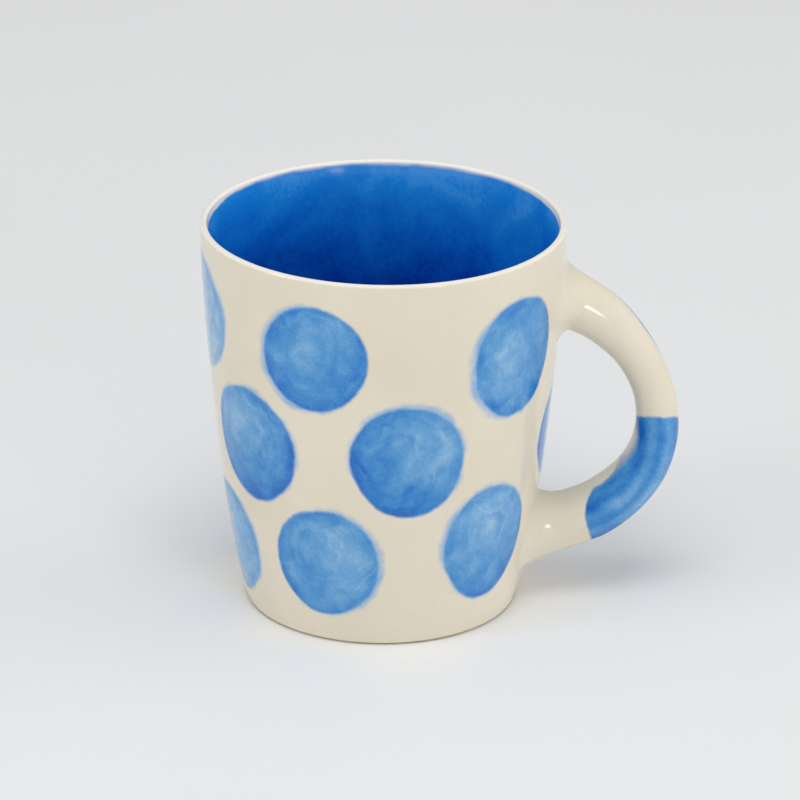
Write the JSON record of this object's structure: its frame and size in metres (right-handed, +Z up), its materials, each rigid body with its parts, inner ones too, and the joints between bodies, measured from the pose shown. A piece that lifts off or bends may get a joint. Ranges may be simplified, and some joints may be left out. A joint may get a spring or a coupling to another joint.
{
  "type": "mug",
  "caption": "Tapered stoneware mug with a round loop handle, ivory outside with painted blue spots and a blue glazed inside.",
  "frame": {"origin": "middle of the foot, where the cup's axis meets the table", "axes": "+Z up the cup's axis to the mouth, +X towards the handle, +Y to the cup's left seen from the handle"},
  "size_m": [0.1161, 0.088, 0.0968],
  "materials": {
    "bare_stoneware": "unglazed fired clay, matt and slightly sandy",
    "ivory_glaze": "clear glossy glaze over ivory clay, with brushed cobalt spots under it",
    "blue_glaze": "glossy cobalt blue glaze, darker where it pools"
  },
  "bodies": {
    "root": {"cup_body": "bare_stoneware", "outer_glaze": "ivory_glaze", "inner_glaze": "blue_glaze", "handle": "bare_stoneware", "handle_glaze": "ivory_glaze", "handle_joint_upper": "ivory_glaze", "handle_joint_lower": "ivory_glaze"}
  },
  "joints": []
}
